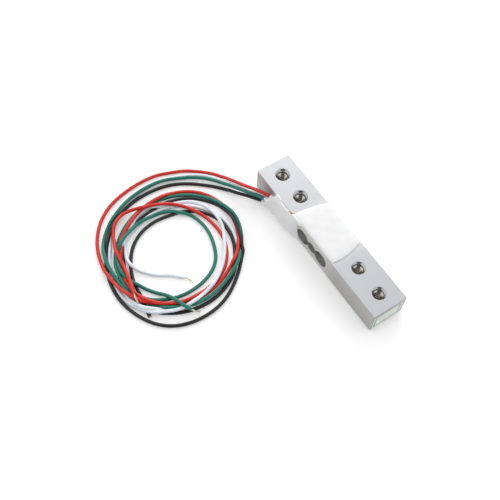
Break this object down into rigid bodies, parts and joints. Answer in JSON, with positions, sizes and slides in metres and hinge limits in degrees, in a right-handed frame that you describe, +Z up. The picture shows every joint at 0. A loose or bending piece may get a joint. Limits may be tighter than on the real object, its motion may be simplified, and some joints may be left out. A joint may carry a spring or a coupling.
{
  "type": "miniature load cell",
  "caption": "Slim aluminium bending-beam load cell with a multi-bore flexure, tapped ends, white sealant over its gauges and a loose coil of coloured leads.",
  "frame": {"origin": "on the resting surface, under the middle of the beam", "axes": "+X along the beam from its fixed end, where the leads leave, to its free end; +Y away from the side that the leads leave; +Z up"},
  "size_m": [0.089, 0.0751, 0.0111],
  "materials": {
    "aluminium": "sawn and fine-milled, matt",
    "polyimide": "amber film with etched foil",
    "laminate": "glass-epoxy board",
    "solder": "satin tin solder",
    "enamelled_copper": "reddish enamel on copper wire",
    "silicone": "white cured silicone, smooth",
    "label_film": "pale film label, blank",
    "red_insulation": "extruded PVC, semi-gloss",
    "white_insulation": "extruded PVC, semi-gloss",
    "green_insulation": "extruded PVC, semi-gloss",
    "black_insulation": "extruded PVC, semi-gloss",
    "tinned_copper": "tinned strands"
  },
  "bodies": {
    "root": {"flexure_beam": "aluminium", "top_gauge_fixed": "polyimide", "top_gauge_live": "polyimide", "bottom_gauge_fixed": "polyimide", "bottom_gauge_live": "polyimide", "terminal_board": "laminate", "solder_joint_1": "solder", "solder_joint_2": "solder", "solder_joint_3": "solder", "solder_joint_4": "solder", "top_jumper_1": "enamelled_copper", "top_jumper_2": "enamelled_copper", "bottom_jumper_1": "enamelled_copper", "bottom_jumper_2": "enamelled_copper", "top_sealant": "silicone", "bottom_sealant": "silicone", "side_sealant": "silicone", "end_label": "label_film", "red_lead": "red_insulation", "white_lead": "white_insulation", "green_lead": "green_insulation", "black_lead": "black_insulation", "white_tail": "white_insulation", "wire_coil": "red_insulation", "red_conductor": "tinned_copper", "white_conductor": "tinned_copper", "green_conductor": "tinned_copper", "black_conductor": "tinned_copper"}
  },
  "joints": []
}
